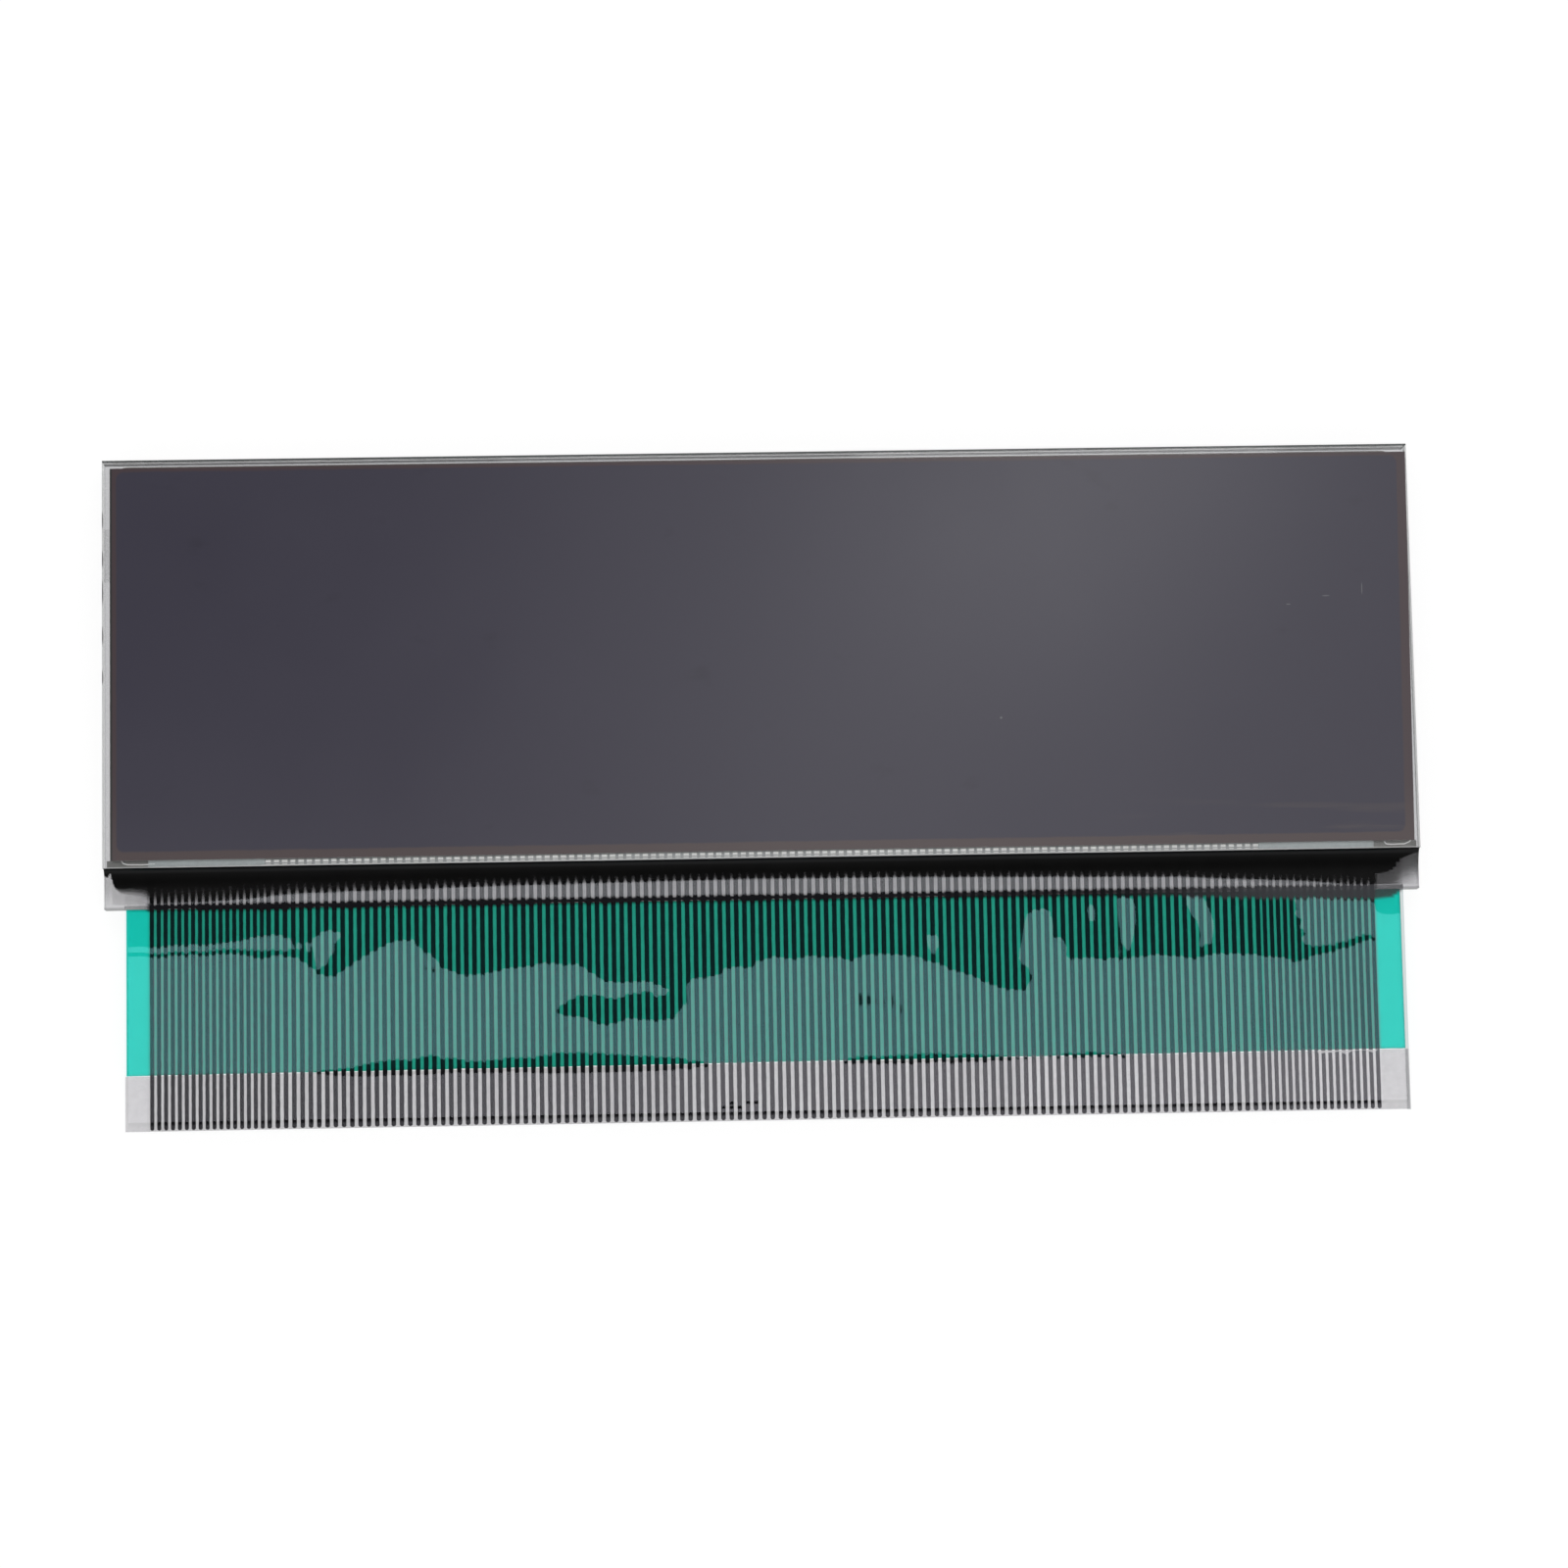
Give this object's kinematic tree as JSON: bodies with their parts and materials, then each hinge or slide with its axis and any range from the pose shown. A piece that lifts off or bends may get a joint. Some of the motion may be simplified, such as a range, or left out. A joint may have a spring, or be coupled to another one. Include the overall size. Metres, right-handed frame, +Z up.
{
  "type": "lcd module",
  "caption": "Bare glass display cell lying face up, with a ribbon of printed conductors heat-sealed along its contact ledge.",
  "frame": {"origin": "under the middle of the whole outline, on the surface that the module lies on", "axes": "+X along the panel and across the ribbon, +Y from the ribbon's tail to the panel's far edge, +Z up out of the viewing face"},
  "size_m": [0.0966, 0.0494, 0.0027],
  "materials": {
    "front_polarizer": "dark purple-grey polarizing film, softly glossy",
    "glass": "clear float glass with scribed and broken edges",
    "rear_polarizer": "dark polarizing film",
    "epoxy": "thin brownish epoxy wall seen through the polarizer",
    "plug_resin": "clear grey cured resin",
    "liquid_crystal": "dark layer between the plates",
    "conductive_paste": "grey conductive adhesive",
    "ribbon_film": "clear glossy film with dark printed conductors on its underside",
    "green_coat": "turquoise-green insulating print",
    "adhesive": "hazy clear heat-seal adhesive",
    "sealing_resin": "glossy black resin that thins out to clear"
  },
  "bodies": {
    "root": {"front_polarizer": "front_polarizer", "front_glass": "glass", "rear_glass": "glass", "rear_polarizer": "rear_polarizer", "perimeter_seal": "epoxy", "fill_port_plug": "plug_resin", "liquid_crystal": "liquid_crystal", "crossover_strip_left": "conductive_paste", "crossover_strip_right": "conductive_paste", "ribbon": "ribbon_film", "cover_coat": "green_coat", "ledge_adhesive": "adhesive", "tail_adhesive": "adhesive", "edge_resin": "sealing_resin"}
  },
  "joints": []
}
